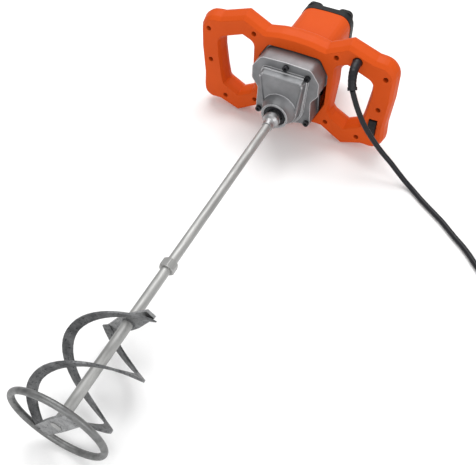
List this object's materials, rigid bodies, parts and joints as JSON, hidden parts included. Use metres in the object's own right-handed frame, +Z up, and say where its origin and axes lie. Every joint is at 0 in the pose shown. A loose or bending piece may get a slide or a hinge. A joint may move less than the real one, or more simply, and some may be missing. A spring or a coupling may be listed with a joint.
{
  "type": "mortar mixer with paddle",
  "caption": "Hand-held electric mortar mixer: two-handled frame, motor and reduction gear, screwed rod and a helical mixing paddle with a base ring.",
  "frame": {"origin": "on the surface it rests on, below the middle of its length and width, cord left out", "axes": "+Z up; +Y from the paddle to the motor; the rod lies along Y, leaning 0.73 degrees down towards the ring; +X to the side with the trigger"},
  "size_m": [0.7583, 0.8712, 0.2073],
  "materials": {
    "orange_plastic": "moulded, satin gloss",
    "black_plastic": "fine texture",
    "cast_alloy": "die-cast, satin",
    "gear_steel": "hardened, ground",
    "bright_steel": "machined",
    "black_screw": "black oxide",
    "core_steel": "laminated",
    "copper_wire": "enamelled copper",
    "brass_part": "pressed brass",
    "carbon": "pressed carbon",
    "zinc_steel": "zinc plated",
    "rough_zinc": "zinc plated, rough",
    "black_rubber": "smooth",
    "seal_rubber": "nitrile",
    "board_resin": "potted"
  },
  "bodies": {
    "body": {"front_shell": "orange_plastic", "rear_shell": "orange_plastic", "end_cap": "black_plastic", "gear_case": "cast_alloy", "gear_plate": "cast_alloy", "shell_screws": "black_screw", "gear_case_screws": "black_screw", "cap_screws": "black_screw", "air_baffle": "black_plastic", "control_module": "board_resin", "stator_core": "core_steel", "field_coils": "copper_wire", "brush_holders": "brass_part", "carbon_brushes": "carbon", "brush_springs": "bright_steel", "spindle_front_bearing": "bright_steel", "spindle_rear_bearing": "bright_steel", "layshaft_front_bearing": "bright_steel", "layshaft_rear_bearing": "bright_steel", "rotor_front_bearing": "bright_steel", "rotor_rear_bearing": "bright_steel", "spindle_seal": "seal_rubber", "switch_body": "black_plastic", "trigger_pin": "bright_steel", "trigger_spring": "bright_steel", "cord_guard": "black_rubber", "cord_clamp": "black_plastic", "clamp_screws": "black_screw", "cord": "black_rubber", "cord_coil": "black_rubber", "cord_tie": "black_rubber", "plug": "black_rubber", "plug_pins": "bright_steel"},
    "output": {"spindle": "bright_steel", "output_gear": "gear_steel", "output_gear_key": "bright_steel", "rod_adaptor": "bright_steel", "upper_rod": "zinc_steel", "coupling_nut": "zinc_steel", "lower_rod": "zinc_steel", "top_bar": "rough_zinc", "base_bar": "rough_zinc", "blade_a": "rough_zinc", "blade_b": "rough_zinc", "base_ring": "zinc_steel"},
    "layshaft": {"layshaft": "gear_steel", "layshaft_gear": "gear_steel"},
    "rotor": {"rotor_shaft": "gear_steel", "rotor_core": "core_steel", "rotor_windings": "copper_wire", "commutator": "copper_wire", "fan": "black_plastic"},
    "trigger": {"trigger": "black_plastic"},
    "lock_button": {"lock_button": "black_plastic"}
  },
  "joints": [
    {"name": "output_spin", "type": "hinge", "parent": "body", "child": "output", "pos_m": [0, 0.2567, 0.07874], "axis": [0, -0.9999, -0.0127], "continuous": true},
    {"name": "layshaft_spin", "type": "hinge", "parent": "body", "child": "layshaft", "pos_m": [-0.014, 0.25619, 0.11833], "axis": [0, -0.9999, -0.0127], "continuous": true},
    {"name": "rotor_spin", "type": "hinge", "parent": "body", "child": "rotor", "pos_m": [0, 0.25658, 0.08763], "axis": [0, -0.9999, -0.0127], "continuous": true},
    {"name": "trigger_press", "type": "hinge", "parent": "body", "child": "trigger", "pos_m": [0.1535, 0.26517, 0.04184], "axis": [-1, 0, 0], "range_deg": [0, 9], "stiffness_Nm_per_rad": 0.3, "springref_deg": -5.73},
    {"name": "lock_press", "type": "slide", "parent": "body", "child": "lock_button", "axis": [0, -0.9999, -0.0127], "range_m": [0, 0.003], "stiffness_N_per_m": 200, "springref_m": -0.001}
  ],
  "couplings": [
    {"joint": "layshaft_spin", "follows": "output_spin", "ratio": -3},
    {"joint": "rotor_spin", "follows": "output_spin", "ratio": 15}
  ]
}
